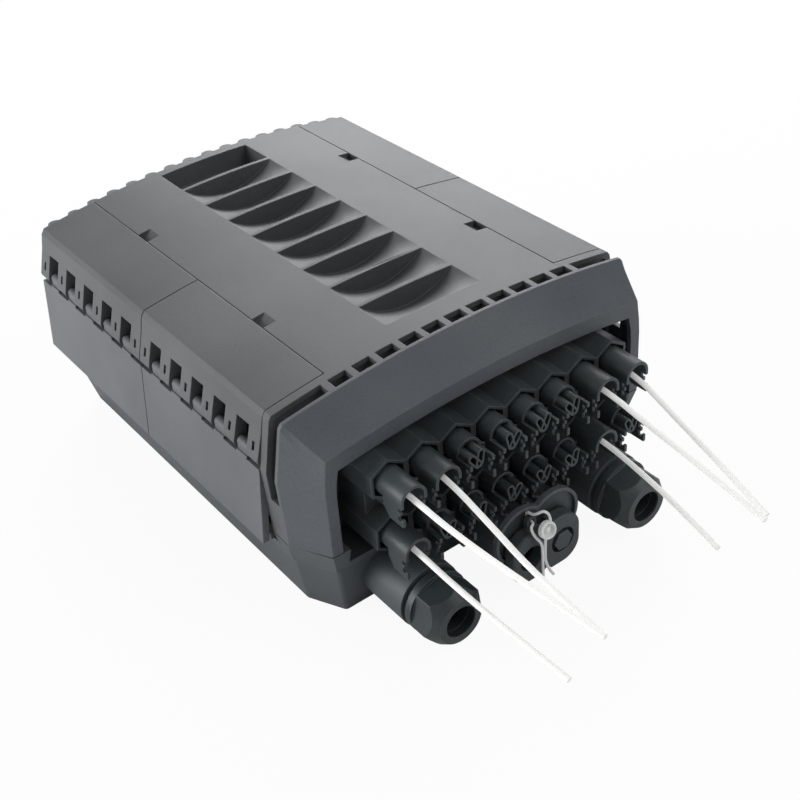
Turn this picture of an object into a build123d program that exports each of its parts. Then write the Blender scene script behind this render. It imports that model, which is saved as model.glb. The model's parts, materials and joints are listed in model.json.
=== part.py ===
from build123d import *
from math import sqrt, sin, cos, radians, tan
import os

os.makedirs("parts", exist_ok=True)

# Millimetres. X is the width, Y runs from the port face (-Y) to the rear, Z is up.
# The origin is on the resting face, under the middle of the enclosure.

# Heights build up from the glands: they fix the deck, and the port rows fix the crown
gland_tube_radius = 18.0
gland_z = gland_tube_radius + 2.5
deck_z = gland_z + gland_tube_radius + 4.5
row_pitch = 32.7
lower_row_z = deck_z + 15.5
upper_row_z = lower_row_z + row_pitch
crown_z = upper_row_z + 42.3
ledge_z = deck_z + 3.0
split_z = deck_z + 10.0
rim_z = crown_z - 50.5

# Enclosure body
body_rear = 139.0
body_front = -102.5
base_top_half = 113.0
base_taper = 13.0
base_bottom_half = base_top_half - base_taper
base_bottom_rear = body_rear - 2.0
hood_front = body_front - 35.5
hood_front_half = base_top_half - 11.2
base_corner_y = body_front - 12.5
base_bottom_front = hood_front + 14.0
base_lip_z = split_z - 14.0
base_lip_step = 2.2
base_corner_radius = 3.0
wall = 3.2
base_floor = wall
rim_half = base_top_half - 7.5
gasket_thickness = 2.0

# Cover crown: one wide arc carries the centre panel, the levers and the hood
crown_radius = 640.0
seam_half = 72.9
panel_thickness = 3.5
seat_gap = 0.4
seam_gap = 0.6
split_gap = 0.9

# Hood over the ports
hood_break = body_front - 14.5
hood_fall = 14.8
lip_depth = 3.0
lip_height = 9.0
vent_count = 11
vent_pitch = 14.0
vent_width = 10.5
vent_rear = body_front - 5.1
vent_front = vent_rear - 7.4
side_slot_bottom = crown_z - 55.5
flange_thickness = 4.0
baffle_inset = 13.5

# Ribbed trough
trough_half = 30.0
trough_depth = 12.0
trough_rear = body_rear - 6.0
cell_count = 9
cell_pitch = 25.2
rib_width = 2.6
rib_top_depth = 1.2
pocket_depth = 13.0

# Rear ribs
rear_rib_count = 16
rear_rib_pitch = 13.2
rear_rib_radius = 4.4

# Pry notches beside the seams
notch_length = 11.0
notch_width = 8.0
notch_depth = 7.0

# Latches: a lever and a link per panel
side_top_x, side_top_z = base_top_half - 4.7, crown_z - 9.6
side_mid_x, side_mid_z = base_top_half + 1.8, crown_z - 39.5
side_low_x, side_low_z = base_top_half + 6.2, ledge_z + 3.0
panel_split_y = (body_rear + body_front) / 2 - 2.55
panel_gap = 0.8
tab_count = 6
tab_share = 0.52
lever_pin_x, lever_pin_z = base_top_half - 2.0, crown_z - 35.5
link_pin_x, link_pin_z = base_top_half, ledge_z + 7.6
pin_radius = 1.3
pin_clearance = 0.05
tab_radius = 4.0
knuckle_radius = 2.7
link_barrel_radius = 3.4
tab_window_top = crown_z - 21.0
slot_width = 2.2
slot_height = 6.5
slot_depth = 2.0
notch_clear = 1.0

# Drop ports
port_pitch = 20.5
ports_per_row = 8
port_block_front = hood_front - 9.0
port_plate_front = body_front - 9.5
port_plate_thickness = 4.0
port_plate_half = hood_front_half - 9.8
port_plate_top = upper_row_z + 14.8
cell_wall = 1.5
cell_recess = 9.0
port_collar = 4.5
port_collar_gap = 0.8
barrel_radius = 7.6
barrel_bore = 4.6
barrel_length = 17.0
barrel_seat_depth = 3.0
shroud_wall = 1.6
shroud_reach = 14.0
open_arch = 4.0
skirt_drop = 12.8
skirt_step = 3.2
hook_reach = 1.4
leaf_length = 10.5
leaf_width = 4.6
leaf_wall = 1.0
leaf_angle = 24.0
peg_radius = 2.8
peg_bore = 1.4

# Large glands
gland_x = 63.0
gland_tube_end = hood_front - 22.0
gland_bore = 9.0
spigot_radius = 13.0
spigot_collar_radius = 15.6
spigot_collar = 2.4
spigot_length = 17.0
spigot_root = 12.0
nut_flange_radius = 17.5
nut_flange = 4.0
nut_across_flats = 31.0
nut_front = gland_tube_end - 24.5
nut_dome = 8.0
nut_clearance = 0.3
thread_clearance = 0.06
gland_seal_length = 3.4

# Feeder port
feeder_x = 10.5
feeder_z = gland_z + 3.5
feeder_hole = 7.6
feeder_lobe = 12.0
feeder_height = 31.0
feeder_tube_end = hood_front - 30.0
feeder_wall = 3.0
feeder_rim_radius = 17.0
feeder_rim_wall = 1.8
feeder_rim_rise = 10.5
feeder_rim_root = 1.2
clamp_thickness = 7.0
clamp_seal_thickness = 2.0

# Drop cables
cable_radius = 1.5

# Splice trays and what carries them
carrier_thickness = 2.5
carrier_top = deck_z - 7.0
post_radius = 4.5
post_x = base_bottom_half - 18.0
post_front_y = -40.0
post_rear_y = 104.0
carrier_margin = 8.0
carrier_screw_radius = 1.6
tray_length = post_rear_y - post_front_y + 6.0
tray_width = 2 * (post_x - 30.0)
tray_corner = 24.0
tray_height = 8.0
tray_gap = 1.0
tray_wall = 1.6
tray_count = 3
tray_stack_z = carrier_top + 2.0
tray_y = (post_rear_y + post_front_y) / 2 + 2.0
mount_x = base_bottom_half - 22.0
mount_rear_y = 112.0
mount_front_y = -82.0
mount_screw_radius = 2.2
mount_boss_radius = 6.5
mount_boss_height = 14.0


def arch_z(x, drop=0.0):
    """Height of the crown arc at x, less a drop measured along Z."""
    return crown_z - drop - crown_radius + sqrt(crown_radius**2 - x**2)


def cross_plane(y):
    """The XZ plane at y: local x is X, local y is Z and the normal is -Y."""
    return Plane.XZ.offset(-y)


def save(piece, name):
    piece.part.label = name
    export_step(piece.part, f"parts/{name}.step")


def symmetric_outline(points, crown):
    """Draw a closed outline: an arc over the top, and the points down both sides."""
    x0, z0 = points[0]
    ThreePointArc((-x0, z0), (0, crown), (x0, z0))
    Polyline(*points)
    Polyline(*[(-x, z) for x, z in points])
    Line(points[-1], (-points[-1][0], points[-1][1]))


# Derived heights and places
seam_z = arch_z(seam_half)
lever_step = panel_thickness + seat_gap
cover_rim_z = rim_z + gasket_thickness
flange_front = body_front - flange_thickness
body_length = body_rear - body_front


def base_plan(half, rear, corner_y, front, front_half):
    return [
        (-half, rear),
        (half, rear),
        (half, corner_y),
        (front_half, front),
        (-front_half, front),
        (-half, corner_y),
    ]


# The facet at each front corner keeps one direction from the top plan to the bottom plan.
facet_run = (base_top_half - hood_front_half) / (base_corner_y - hood_front)
bottom_corner_y = base_bottom_front + (base_corner_y - hood_front) * 0.9
bottom_front_half = base_bottom_half - facet_run * (bottom_corner_y - base_bottom_front)


# The latches stand in two spans of the length, front and rear.
spans = {
    "front": (body_front + seam_gap, panel_split_y - panel_gap / 2),
    "rear": (panel_split_y + panel_gap / 2, body_rear - 0.3),
}
barrel_shares = (0.14, 0.5, 0.86)
barrel_width = 12.0
lug_shares = (0.055, 0.3, 0.7, 0.945)
lug_width = 7.0
lug_clearance = 0.3
mount_places = [
    (side * mount_x, y) for side in (-1, 1) for y in (mount_front_y, mount_rear_y)
]
post_places = [
    (side * post_x, y) for side in (-1, 1) for y in (post_front_y, post_rear_y)
]
gland_places = [(-gland_x, gland_z), (gland_x, gland_z)]
feeder_outline = (2 * (feeder_x + feeder_lobe), feeder_height, feeder_lobe - 0.5)
feeder_hollow = (
    feeder_outline[0] - 2 * feeder_wall,
    feeder_outline[1] - 2 * feeder_wall,
    feeder_outline[2] - feeder_wall,
)

# The full outline of the base runs straight from the floor up to the split line.
bottom_plan = base_plan(
    base_bottom_half, base_bottom_rear, bottom_corner_y, base_bottom_front, bottom_front_half
)
top_plan = base_plan(base_top_half, body_rear, base_corner_y, hood_front, hood_front_half)


def plan_at(z, step=0.0):
    """The base's outline at height z, stepped inwards on the sides and in front."""
    share = z / split_z
    points = []
    for (xa, ya), (xb, yb) in zip(bottom_plan, top_plan):
        x = xa + (xb - xa) * share
        y = ya + (yb - ya) * share
        if y < body_front:
            x -= step if x > 0 else -step
            y += step
        points.append((x, y))
    return points


# The tub's outer form, before the ledge, the rim and the cavity are made
with BuildPart() as tub_form:
    with BuildSketch(Plane.XY):
        Polygon(*bottom_plan, align=None)
    with BuildSketch(Plane.XY.offset(split_z)):
        Polygon(*plan_at(split_z, base_lip_step), align=None)
    loft(ruled=True)
    slanted = tub_form.edges().filter_by(lambda edge: abs((edge % 0.5).Z) > 0.5)
    fillet(slanted, base_corner_radius)
    fillet(tub_form.edges().group_by(Axis.Z)[0], 1.5)
    # The lip under the split line stands proud of the tub around the front
    with BuildSketch(Plane.XY.offset(base_lip_z)):
        Polygon(*plan_at(base_lip_z), align=None)
    with BuildSketch(Plane.XY.offset(split_z)):
        Polygon(*top_plan, align=None)
    loft(ruled=True)

# Base tray
with BuildPart() as base_tray:
    add(tub_form.part)
    # The ledge that the latch links stand over, and the rim inside them
    with BuildSketch(Plane.XY.offset(ledge_z)):
        for side in (-1, 1):
            with Locations((side * (rim_half + 10), (body_rear + body_front) / 2)):
                Rectangle(20, body_length + 0.01)
    extrude(amount=split_z, mode=Mode.SUBTRACT)
    with BuildSketch(Plane.XY.offset(ledge_z - wall)):
        with Locations((0, (body_rear + body_front) / 2)):
            Rectangle(2 * rim_half, body_length)
    extrude(amount=rim_z - ledge_z + wall)
    # Inner cavity: the tapered tray below, the straight rim above
    with BuildSketch(Plane.XY.offset(base_floor)):
        Polygon(
            *base_plan(
                base_bottom_half - wall + 1,
                base_bottom_rear - wall,
                bottom_corner_y,
                base_bottom_front + wall,
                bottom_front_half - wall + 1,
            ),
            align=None,
        )
    with BuildSketch(Plane.XY.offset(deck_z - wall)):
        Polygon(
            *base_plan(
                base_top_half - 3 * wall,
                body_rear - wall,
                base_corner_y,
                hood_front + 2 * wall,
                hood_front_half - 2.6 * wall,
            ),
            align=None,
        )
    loft(ruled=True, mode=Mode.SUBTRACT)
    with BuildSketch(Plane.XY.offset(deck_z - wall - 1)):
        with Locations((0, (body_rear + body_front) / 2)):
            Rectangle(2 * (rim_half - wall), body_length - 2 * wall)
    extrude(amount=rim_z, mode=Mode.SUBTRACT)
    # The deck in front is open above for the port block, and the rim behind it too
    with BuildSketch(Plane.XY.offset(deck_z)):
        with Locations((0, (hood_front + body_front) / 2)):
            Rectangle(2 * (port_plate_half - 0.5), body_front - hood_front + 8)
    extrude(amount=split_z, mode=Mode.SUBTRACT)
    # Lugs on the ledge, one each side of every link barrel, hold the hinge pins
    for y0, y1 in spans.values():
        for share in lug_shares:
            y = y1 - share * (y1 - y0)
            with BuildSketch(cross_plane(y + lug_width / 2)):
                for side in (-1, 1):
                    with Locations((side * link_pin_x, link_pin_z)):
                        Circle(link_barrel_radius)
                    with Locations((side * (link_pin_x - 2), (link_pin_z + ledge_z) / 2)):
                        Rectangle(4, link_pin_z - ledge_z)
                    with Locations((side * (link_pin_x - 4.2), link_pin_z - 2.1)):
                        Rectangle(8.4, 2 * link_barrel_radius - 1)
            extrude(amount=lug_width)
    with BuildSketch(cross_plane(body_rear)):
        with Locations((-link_pin_x, link_pin_z), (link_pin_x, link_pin_z)):
            Circle(pin_radius)
    extrude(amount=body_length, mode=Mode.SUBTRACT)
    # Blind bosses in the floor for a wall or pole bracket
    with BuildSketch(Plane.XY):
        with Locations(*mount_places):
            Circle(mount_boss_radius)
    extrude(amount=mount_boss_height)
    with BuildSketch(Plane.XY):
        with Locations(*mount_places):
            Circle(mount_screw_radius)
    extrude(amount=mount_boss_height - 2, mode=Mode.SUBTRACT)
    # Posts that carry the splice trays
    with BuildSketch(Plane.XY.offset(base_floor - 1)):
        with Locations(*post_places):
            Circle(post_radius)
    extrude(amount=carrier_top - carrier_thickness - base_floor + 1)
    with BuildSketch(Plane.XY.offset(carrier_top - carrier_thickness - 12)):
        with Locations(*post_places):
            Circle(carrier_screw_radius)
    extrude(amount=12, mode=Mode.SUBTRACT)
    # Holes in the front wall for the glands and the feeder port
    with BuildSketch(cross_plane(base_bottom_front + 10.0)):
        with Locations(*gland_places):
            Circle(spigot_radius)
        with Locations((0, feeder_z)):
            RectangleRounded(*feeder_hollow)
    extrude(amount=30, mode=Mode.SUBTRACT)
save(base_tray, "base_tray")

# Cable entries: two gland tubes and the feeder collar, grown out of the tub's front wall
with BuildPart() as cable_entries:
    with BuildSketch(cross_plane(base_bottom_front)):
        with Locations(*gland_places):
            Circle(gland_tube_radius)
            Circle(spigot_radius, mode=Mode.SUBTRACT)
    extrude(amount=base_bottom_front - gland_tube_end)
    with BuildSketch(cross_plane(base_bottom_front)):
        with Locations((0, feeder_z)):
            RectangleRounded(*feeder_outline)
    extrude(amount=base_bottom_front - feeder_tube_end)
    # A thin two-lobed rim stands round the feeder port
    rim_centres = [(side * feeder_x, feeder_z + feeder_rim_rise) for side in (-1, 1)]
    with BuildSketch(cross_plane(feeder_tube_end + feeder_rim_root)):
        with Locations(*rim_centres):
            Circle(feeder_rim_radius)
        with Locations(*rim_centres):
            Circle(feeder_rim_radius - feeder_rim_wall, mode=Mode.SUBTRACT)
        with Locations((0, feeder_z - feeder_height / 2)):
            Rectangle(4 * feeder_rim_radius, feeder_height, mode=Mode.SUBTRACT)
    extrude(amount=feeder_rim_root + clamp_seal_thickness)
    with BuildSketch(cross_plane(feeder_tube_end)):
        with Locations((0, feeder_z)):
            RectangleRounded(feeder_outline[0] + 0.6, feeder_outline[1] + 0.6, feeder_lobe)
    extrude(amount=clamp_seal_thickness + 1, mode=Mode.SUBTRACT)
    with BuildSketch(cross_plane(base_bottom_front)):
        with Locations((0, feeder_z)):
            RectangleRounded(*feeder_hollow)
    extrude(amount=70, mode=Mode.SUBTRACT)
    add(tub_form.part, mode=Mode.SUBTRACT)
save(cable_entries, "cable_entries")


# Cover: crown, sides, hood and front flange are one moulding
hood_foot = split_z + split_gap
hood_rear_points = [
    (base_top_half - 6.0, arch_z(base_top_half - 6.0)),
    (base_top_half - 4.4, crown_z - 11.1),
    (base_top_half + 1.4, side_mid_z),
    (base_top_half, hood_foot),
]
hood_front_points = [
    (hood_front_half - 2.5, arch_z(hood_front_half - 2.5, hood_fall)),
    (hood_front_half - 0.8, crown_z - 34.5),
    (hood_front_half - 0.2, crown_z - 42.5),
    (hood_front_half, hood_foot),
]


def inset(points, dx, crown_drop, bottom):
    """Move an outline's side points inward, its crown down and its foot below."""
    x0, z0 = points[0]
    moved = [(x0 - dx, arch_z(x0 - dx, crown_z - arch_z(0) + crown_drop))]
    moved += [(x - dx, z - 0.6 * dx) for x, z in points[1:-1]]
    return moved + [(points[-1][0] - dx, bottom)]


def between(a, b, share):
    return [
        (xa + (xb - xa) * share, za + (zb - za) * share)
        for (xa, za), (xb, zb) in zip(a, b)
    ]


lip_share = (hood_break - hood_front - lip_depth) / (hood_break - hood_front)
lip_points = between(hood_rear_points, hood_front_points, lip_share)
lip_fall = hood_fall * lip_share
shoulder_x = rim_half - 7.5
shoulder_z = crown_z - 20.5

with BuildPart() as cover_shell:
    # Dome: the centre panel stands one lever's thickness above the lever seats
    with BuildSketch(cross_plane(body_rear)):
        with BuildLine():
            symmetric_outline(
                [
                    (seam_half, seam_z),
                    (seam_half, seam_z - lever_step),
                    (shoulder_x, arch_z(shoulder_x, lever_step)),
                    (rim_half, shoulder_z),
                    (rim_half, cover_rim_z),
                ],
                crown_z,
            )
        make_face()
    extrude(amount=body_length)
    with BuildSketch(cross_plane(body_rear - wall)):
        with BuildLine():
            symmetric_outline(
                [
                    (seam_half - wall, arch_z(seam_half - wall, lever_step + wall)),
                    (shoulder_x - 2.0, arch_z(shoulder_x - 2.0, lever_step + wall)),
                    (rim_half - wall, shoulder_z - 1.5),
                    (rim_half - wall, cover_rim_z),
                ],
                crown_z - lever_step - wall,
            )
        make_face()
    extrude(amount=body_length - wall, mode=Mode.SUBTRACT)
    # Floor under the ribbed trough
    trough_floor = crown_z - trough_depth - wall
    with BuildSketch(cross_plane(body_rear)):
        with Locations((0, trough_floor + 5)):
            Rectangle(2 * (trough_half + wall), 12)
    extrude(amount=body_length)
    # Front flange, which closes the dome around the port plate
    with BuildSketch(cross_plane(body_front)):
        with BuildLine():
            symmetric_outline(hood_rear_points, crown_z)
        make_face()
    extrude(amount=flange_thickness)
    # Hood: straight behind the break, then falling to the front lip
    with BuildSketch(cross_plane(flange_front)):
        with BuildLine():
            symmetric_outline(hood_rear_points, crown_z)
        make_face()
    extrude(amount=flange_front - hood_break)
    with BuildSketch(cross_plane(hood_break)):
        with BuildLine():
            symmetric_outline(hood_rear_points, crown_z)
        make_face()
    with BuildSketch(cross_plane(hood_front)):
        with BuildLine():
            symmetric_outline(hood_front_points, crown_z - hood_fall)
        make_face()
    loft(ruled=True)
    # Hollow of the hood behind the lip, then the mouth through the lip
    with BuildSketch(cross_plane(flange_front)):
        with BuildLine():
            symmetric_outline(
                inset(hood_rear_points, wall, wall, split_z - 1), crown_z - wall
            )
        make_face()
    extrude(amount=flange_front - hood_break, mode=Mode.SUBTRACT)
    with BuildSketch(cross_plane(hood_break)):
        with BuildLine():
            symmetric_outline(
                inset(hood_rear_points, wall, wall, split_z - 1), crown_z - wall
            )
        make_face()
    with BuildSketch(cross_plane(hood_front + lip_depth)):
        with BuildLine():
            symmetric_outline(
                inset(lip_points, wall, lip_fall + wall, split_z - 1),
                crown_z - lip_fall - wall,
            )
        make_face()
    loft(ruled=True, mode=Mode.SUBTRACT)
    with BuildSketch(cross_plane(hood_front + lip_depth + 0.5)):
        with BuildLine():
            symmetric_outline(
                inset(hood_front_points, 6.0, hood_fall + lip_height, split_z - 1),
                crown_z - hood_fall - lip_height,
            )
        make_face()
    extrude(amount=2 * lip_depth, mode=Mode.SUBTRACT)
    # Opening in the flange for the port plate
    with BuildSketch(cross_plane(body_front + 1)):
        with Locations((0, (split_z - 2 + port_plate_top - 2) / 2)):
            Rectangle(2 * (port_plate_half - 4), port_plate_top - split_z)
    extrude(amount=flange_thickness + 2, mode=Mode.SUBTRACT)
    # Vents between the body and the hood, and the slot that turns down each side
    with BuildSketch(Plane.XY.offset(crown_z - 16)):
        with GridLocations(vent_pitch, 1, vent_count, 1):
            with Locations((0, (vent_rear + vent_front) / 2)):
                Rectangle(vent_width, vent_rear - vent_front)
    extrude(amount=30, mode=Mode.SUBTRACT)
    slot_start = vent_pitch * vent_count / 2 + 2.0
    with BuildSketch(Plane.XY.offset(side_slot_bottom)):
        for side in (-1, 1):
            with Locations((side * (slot_start + 25), (vent_rear + vent_front) / 2)):
                Rectangle(50, vent_rear - vent_front)
    extrude(amount=60, mode=Mode.SUBTRACT)
    # A baffle stands inside each side slot
    with BuildSketch(cross_plane(flange_front)):
        for side in (-1, 1):
            with Locations((side * (base_top_half - baffle_inset), side_slot_bottom + 18)):
                Rectangle(1.6, 46)
    extrude(amount=flange_front - vent_front + 2)
    # Trough: each cell drops sheer at its rear rib and rises to the next one
    trough_edge_z = arch_z(trough_half)
    for cell in range(1, cell_count):
        cell_rear = trough_rear - cell * cell_pitch - rib_width
        cell_front = trough_rear - (cell + 1) * cell_pitch
        for y, depth in ((cell_rear, trough_depth), (cell_front, rib_top_depth)):
            with BuildSketch(cross_plane(y)):
                with BuildLine():
                    ThreePointArc(
                        (-trough_half, trough_edge_z),
                        (0, crown_z - depth),
                        (trough_half, trough_edge_z),
                    )
                    Polyline(
                        (trough_half, trough_edge_z),
                        (trough_half, crown_z + 2),
                        (-trough_half, crown_z + 2),
                        (-trough_half, trough_edge_z),
                    )
                make_face()
        loft(ruled=True, mode=Mode.SUBTRACT)
    # The rearmost cell is a straight-sided pocket
    with BuildSketch(Plane.XY.offset(crown_z - pocket_depth)):
        with Locations((0, trough_rear - cell_pitch / 2)):
            Rectangle(2 * trough_half, cell_pitch)
    extrude(amount=pocket_depth + 2, mode=Mode.SUBTRACT)
    # Pry notches: ramps that deepen towards the seams
    for y in ((panel_split_y + body_rear) / 2, (panel_split_y + body_front) / 2):
        for side in (-1, 1):
            with BuildSketch(Plane.XZ.offset(-(y + notch_length / 2))):
                Polygon(
                    (side * (seam_half + 1), seam_z + 4),
                    (side * (seam_half - notch_width), arch_z(seam_half - notch_width) + 0.2),
                    (side * (seam_half - 1), seam_z - notch_depth + wall),
                    (side * (seam_half + 1), seam_z - notch_depth + wall),
                    align=None,
                )
            extrude(amount=notch_length, mode=Mode.SUBTRACT)
    # Half-round ribs down the rear wall
    for index in range(rear_rib_count):
        x = (index - (rear_rib_count - 1) / 2) * rear_rib_pitch
        top = arch_z(x) - 0.6 if abs(x) < seam_half else arch_z(x, 1.2)
        with BuildSketch(Plane.XY.offset(cover_rim_z + 1)):
            with Locations((x, body_rear)):
                Circle(rear_rib_radius)
            with Locations((x, body_rear - rear_rib_radius)):
                Rectangle(2 * rear_rib_radius, 2 * rear_rib_radius, mode=Mode.SUBTRACT)
        extrude(amount=top - cover_rim_z - 1)
save(cover_shell, "cover_shell")


# Gasket between the rims, open in front where the port plate seals
with BuildPart() as cover_gasket:
    gasket_half = rim_half - wall / 2
    with BuildSketch(Plane.XY.offset(rim_z)):
        with Locations((0, (body_rear + body_front) / 2 - 0.1)):
            Rectangle(2 * gasket_half + 2.0, body_length - wall + 1.8)
            Rectangle(2 * gasket_half - 2.0, body_length - wall - 2.2, mode=Mode.SUBTRACT)
        with Locations((0, body_front)):
            Rectangle(2 * (port_plate_half - 4), 20, mode=Mode.SUBTRACT)
    extrude(amount=gasket_thickness)
save(cover_gasket, "cover_gasket")


# Latch levers and links, mirrored side to side, one pair to each half of the length
def side_x(z):
    """The outer face of the side at height z."""
    if z > side_mid_z:
        share = (side_top_z - z) / (side_top_z - side_mid_z)
        return side_top_x + (side_mid_x - side_top_x) * share
    share = (side_mid_z - z) / (side_mid_z - side_low_z)
    return side_mid_x + (side_low_x - side_mid_x) * share


def tab_places(y0, y1):
    pitch = (y1 - y0 - (y1 - y0) / tab_count * tab_share) / (tab_count - 1)
    width = (y1 - y0) / tab_count * tab_share
    return pitch, width


def make_lever(side, y0, y1):
    pitch, width = tab_places(y0, y1)
    t = panel_thickness
    inner_x = seam_half + seam_gap
    mid_x = (seam_half + side_top_x) / 2
    with BuildPart() as lever:
        with BuildSketch(cross_plane(y1)):
            with BuildLine():
                ThreePointArc(
                    (side * inner_x, arch_z(inner_x)),
                    (side * mid_x, arch_z(mid_x)),
                    (side * (side_top_x - 1.5), arch_z(side_top_x - 1.5)),
                )
                Polyline(
                    (side * (side_top_x - 1.5), arch_z(side_top_x - 1.5)),
                    (side * (side_top_x + 0.5), side_top_z - 2.3),
                    (side * side_x(lever_pin_z), lever_pin_z),
                    (side * (side_x(lever_pin_z) - t), lever_pin_z),
                    (side * (side_top_x - t), side_top_z - t - 1.0),
                    (side * (side_top_x - t - 1.5), arch_z(side_top_x - t - 1.5, t)),
                )
                ThreePointArc(
                    (side * (side_top_x - t - 1.5), arch_z(side_top_x - t - 1.5, t)),
                    (side * (mid_x - 2), arch_z(mid_x - 2, t)),
                    (side * inner_x, arch_z(inner_x, t)),
                )
                Line(
                    (side * inner_x, arch_z(inner_x, t)),
                    (side * inner_x, arch_z(inner_x)),
                )
            make_face()
        extrude(amount=y1 - y0)
        # Knuckle tabs: cut the windows, then round each tab about the pin
        with BuildSketch(cross_plane(y1)):
            with Locations((side * (lever_pin_x + tab_radius), (tab_window_top + 80) / 2)):
                Rectangle(24, tab_window_top - 80)
        extrude(amount=y1 - y0, mode=Mode.SUBTRACT)
        for index in range(tab_count):
            y = y1 - index * pitch
            with BuildSketch(cross_plane(y)):
                with BuildLine():
                    tangent_z = tab_window_top + 0.5
                    Polyline(
                        (side * side_x(tangent_z), tangent_z),
                        (side * (lever_pin_x + tab_radius), lever_pin_z),
                    )
                    ThreePointArc(
                        (side * (lever_pin_x + tab_radius), lever_pin_z),
                        (side * lever_pin_x, lever_pin_z - tab_radius),
                        (side * (lever_pin_x - tab_radius), lever_pin_z),
                    )
                    Polyline(
                        (side * (lever_pin_x - tab_radius), lever_pin_z),
                        (side * (side_x(tangent_z) - t - 1.0), tangent_z),
                        (side * side_x(tangent_z), tangent_z),
                    )
                make_face()
            extrude(amount=width)
            # A small upright slot in each tab's face
            with BuildSketch(Plane.YZ.offset(side * (side_x(lever_pin_z + 5) + 1))):
                with Locations((y - width / 2, lever_pin_z + 5.2)):
                    Rectangle(slot_width, slot_height)
            extrude(amount=-side * (slot_depth + 1), mode=Mode.SUBTRACT)
        with BuildSketch(cross_plane(y1 + 1)):
            with Locations((side * lever_pin_x, lever_pin_z)):
                Circle(pin_radius + pin_clearance)
        extrude(amount=y1 - y0 + 2, mode=Mode.SUBTRACT)
    return lever


def make_link(side, y0, y1):
    pitch, width = tab_places(y0, y1)
    t = panel_thickness
    notch_radius = tab_radius + notch_clear
    top_z = lever_pin_z - tab_radius + 0.5
    with BuildPart() as link:
        with BuildSketch(cross_plane(y1)):
            Polygon(
                (side * side_x(top_z), top_z),
                (side * side_low_x, side_low_z),
                (side * (side_low_x - t), side_low_z),
                (side * (side_x(top_z) - t - 1.5), top_z),
                align=None,
            )
        extrude(amount=y1 - y0)
        # Scallops that each lever tab turns in
        for index in range(tab_count):
            y = y1 - index * pitch
            with BuildSketch(cross_plane(y + notch_clear)):
                with Locations((side * lever_pin_x, lever_pin_z)):
                    Circle(notch_radius)
                with Locations((side * (lever_pin_x + 8), lever_pin_z - 2)):
                    Rectangle(16, 2 * notch_radius - 4)
            extrude(amount=width + 2 * notch_clear, mode=Mode.SUBTRACT)
        # Knuckles between the tabs, carried by a web behind the panel
        for index in range(tab_count - 1):
            gap = pitch - width
            y = y1 - index * pitch - width - notch_clear
            with BuildSketch(cross_plane(y)):
                with Locations((side * lever_pin_x, lever_pin_z)):
                    Circle(knuckle_radius)
                with Locations((side * lever_pin_x, lever_pin_z - 3.5)):
                    Rectangle(2 * knuckle_radius, 7)
            extrude(amount=gap - 2 * notch_clear)
        # Pockets behind the foot for the base's lugs
        for share in lug_shares:
            y = y1 - share * (y1 - y0)
            with BuildSketch(cross_plane(y + lug_width / 2 + lug_clearance)):
                with Locations((side * link_pin_x, link_pin_z)):
                    Circle(link_barrel_radius + lug_clearance)
            extrude(amount=lug_width + 2 * lug_clearance, mode=Mode.SUBTRACT)
        # Barrels at the foot, which turn on the base's pin
        for share in barrel_shares:
            y = y1 - share * (y1 - y0)
            with BuildSketch(cross_plane(y + barrel_width / 2)):
                with Locations((side * link_pin_x, link_pin_z)):
                    Circle(link_barrel_radius)
                with Locations((side * (link_pin_x + 1.6), link_pin_z)):
                    Rectangle(3.2, 2 * link_barrel_radius)
            extrude(amount=barrel_width)
        with BuildSketch(cross_plane(y1 + 1)):
            with Locations((side * link_pin_x, link_pin_z)):
                Circle(pin_radius + pin_clearance)
        extrude(amount=y1 - y0 + 2, mode=Mode.SUBTRACT)
        with BuildSketch(cross_plane(y1 + 1)):
            with Locations((side * lever_pin_x, lever_pin_z)):
                Circle(pin_radius)
        extrude(amount=y1 - y0 + 2, mode=Mode.SUBTRACT)
    return link


sides = {"left": -1, "right": 1}
for side_name, side in sides.items():
    for span_name, (y0, y1) in spans.items():
        save(make_lever(side, y0, y1), f"latch_lever_{side_name}_{span_name}")
        save(make_link(side, y0, y1), f"latch_link_{side_name}_{span_name}")
        with BuildPart() as lever_pin:
            with BuildSketch(cross_plane(y1 - 0.5)):
                with Locations((side * lever_pin_x, lever_pin_z)):
                    Circle(pin_radius)
            extrude(amount=y1 - y0 - 1)
        save(lever_pin, f"lever_pin_{side_name}_{span_name}")

with BuildPart() as link_hinge_pins:
    for y0, y1 in spans.values():
        with BuildSketch(cross_plane(y1 - 3)):
            with Locations((-link_pin_x, link_pin_z), (link_pin_x, link_pin_z)):
                Circle(pin_radius)
        extrude(amount=y1 - y0 - 6)
save(link_hinge_pins, "link_hinge_pins")


# Port block: a plate with two rows of open hexagonal cells
port_rows = {"upper": upper_row_z, "lower": lower_row_z}
hex_radius = port_pitch / sqrt(3)
block_top = upper_row_z
block_bottom = lower_row_z
cell_floor = port_block_front + cell_recess

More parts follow.
